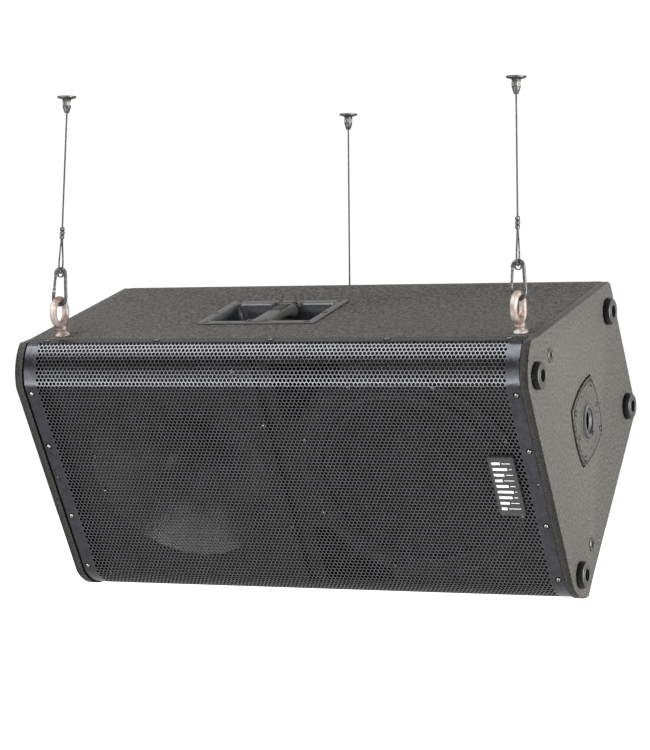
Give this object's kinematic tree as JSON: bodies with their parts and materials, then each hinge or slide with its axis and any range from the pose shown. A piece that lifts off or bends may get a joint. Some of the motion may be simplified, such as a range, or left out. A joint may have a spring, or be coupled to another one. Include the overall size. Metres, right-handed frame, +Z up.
{
  "type": "loudspeaker cabinet",
  "caption": "Two-way stage loudspeaker hung on its side: tapered cabinet, perforated front, horn and woofer behind it, pole socket, handle, wire ropes with snap hooks.",
  "frame": {"origin": "on the ceiling plane that the three ropes hang from, straight above the middle of the grille", "axes": "+X along the cabinet towards its foot end, -Y the way the speaker faces, +Z up"},
  "size_m": [0.9118, 0.5619, 0.8204],
  "materials": {
    "cabinet_paint": "coarse textured dark grey paint on plywood",
    "inner_wood": "black painted plywood",
    "grille_steel": "satin black powder coat, perforated",
    "moulding": "fine textured moulded plastic",
    "foot_rubber": "matt rubber",
    "badge_metal": "gloss dark plate with a bevelled rim",
    "forged_steel": "dull forged steel with brown tarnish",
    "zinc_steel": "dull zinc",
    "rope_steel": "stranded wire rope",
    "cast_alloy": "black painted aluminium casting",
    "magnet_steel": "black coated steel and ferrite",
    "cone_paper": "black pressed paper",
    "surround_rubber": "treated cloth and rubber"
  },
  "bodies": {
    "cabinet": {"horn_end_panel": "cabinet_paint", "pole_end_panel": "cabinet_paint", "handle_side_panel": "cabinet_paint", "plain_side_panel": "cabinet_paint", "rear_panel": "cabinet_paint", "front_baffle": "inner_wood", "cross_brace": "inner_wood", "port_tube_upper": "moulding", "port_tube_lower": "moulding", "grille": "grille_steel", "badge": "badge_metal", "foot_1": "foot_rubber", "foot_2": "foot_rubber", "foot_3": "foot_rubber", "foot_4": "foot_rubber", "rigging_insert_1": "zinc_steel", "rigging_insert_2": "zinc_steel", "pole_cup_plate": "moulding", "handle_cup": "moulding", "handle_bar": "moulding", "woofer_basket": "cast_alloy", "woofer_magnet": "magnet_steel", "woofer_surround": "surround_rubber", "woofer_spider": "surround_rubber", "horn": "moulding", "compression_driver": "magnet_steel", "amplifier_panel": "cast_alloy", "amplifier_chassis": "cast_alloy", "mains_inlet": "moulding", "input_socket_1": "moulding", "input_socket_2": "moulding", "eyebolt_left": "forged_steel", "snap_hook_left": "zinc_steel", "hook_eyelet_left": "zinc_steel", "rope_loop_left": "rope_steel", "ferrule_left": "zinc_steel", "rope_left": "rope_steel", "ceiling_fitting_left": "zinc_steel", "eyebolt_right": "forged_steel", "snap_hook_right": "zinc_steel", "hook_eyelet_right": "zinc_steel", "rope_loop_right": "rope_steel", "ferrule_right": "zinc_steel", "rope_right": "rope_steel", "ceiling_fitting_right": "zinc_steel", "eyebolt_rear": "forged_steel", "snap_hook_rear": "zinc_steel", "hook_eyelet_rear": "zinc_steel", "rope_loop_rear": "rope_steel", "ferrule_rear": "zinc_steel", "rope_rear": "rope_steel", "ceiling_fitting_rear": "zinc_steel"},
    "pole_socket": {"pole_cup_socket": "cast_alloy"},
    "cone": {"woofer_cone": "cone_paper"},
    "knob_1": {"level_knob_1": "moulding"},
    "knob_2": {"level_knob_2": "moulding"},
    "switch": {"power_switch": "moulding"},
    "gate_left": {"hook_gate_left": "zinc_steel"},
    "gate_right": {"hook_gate_right": "zinc_steel"},
    "gate_rear": {"hook_gate_rear": "zinc_steel"}
  },
  "joints": [
    {"name": "gate_left_open", "type": "hinge", "parent": "cabinet", "child": "gate_left", "pos_m": [-0.40264, -0.05232, -0.2967], "axis": [0, -1, 0], "range_deg": [0, 24], "stiffness_Nm_per_rad": 0.08, "springref_deg": -20.05},
    {"name": "gate_right_open", "type": "hinge", "parent": "cabinet", "child": "gate_right", "pos_m": [0.40513, -0.05232, -0.29705], "axis": [0, -1, 0], "range_deg": [0, 24], "stiffness_Nm_per_rad": 0.08, "springref_deg": -20.05},
    {"name": "gate_rear_open", "type": "hinge", "parent": "cabinet", "child": "gate_rear", "pos_m": [-0.08758, 0.42537, -0.39622], "axis": [0, -1, 0], "range_deg": [0, 24], "stiffness_Nm_per_rad": 0.08, "springref_deg": -20.05},
    {"name": "pole_socket_turn", "type": "hinge", "parent": "cabinet", "child": "pole_socket", "pos_m": [0.4503, 0.15982, -0.53541], "axis": [0.9979, 0.0547, 0.0358], "range_deg": [0, 180]},
    {"name": "cone_travel", "type": "slide", "parent": "cabinet", "child": "cone", "axis": [0, -0.8368, -0.5476], "range_m": [-0.008, 0.008], "stiffness_N_per_m": 3000, "deforming": ["woofer_surround", "woofer_spider"]},
    {"name": "level_1_turn", "type": "hinge", "parent": "cabinet", "child": "knob_1", "pos_m": [0.24, 0.38229, -0.46393], "axis": [0, 0.8368, 0.5476], "range_deg": [-150, 150]},
    {"name": "level_2_turn", "type": "hinge", "parent": "cabinet", "child": "knob_2", "pos_m": [0.275, 0.38229, -0.46393], "axis": [0, 0.8368, 0.5476], "range_deg": [-150, 150]},
    {"name": "power_switch_rock", "type": "hinge", "parent": "cabinet", "child": "switch", "pos_m": [0.112, 0.38313, -0.46338], "axis": [0, 0.5476, -0.8368], "range_deg": [0, 16]}
  ]
}
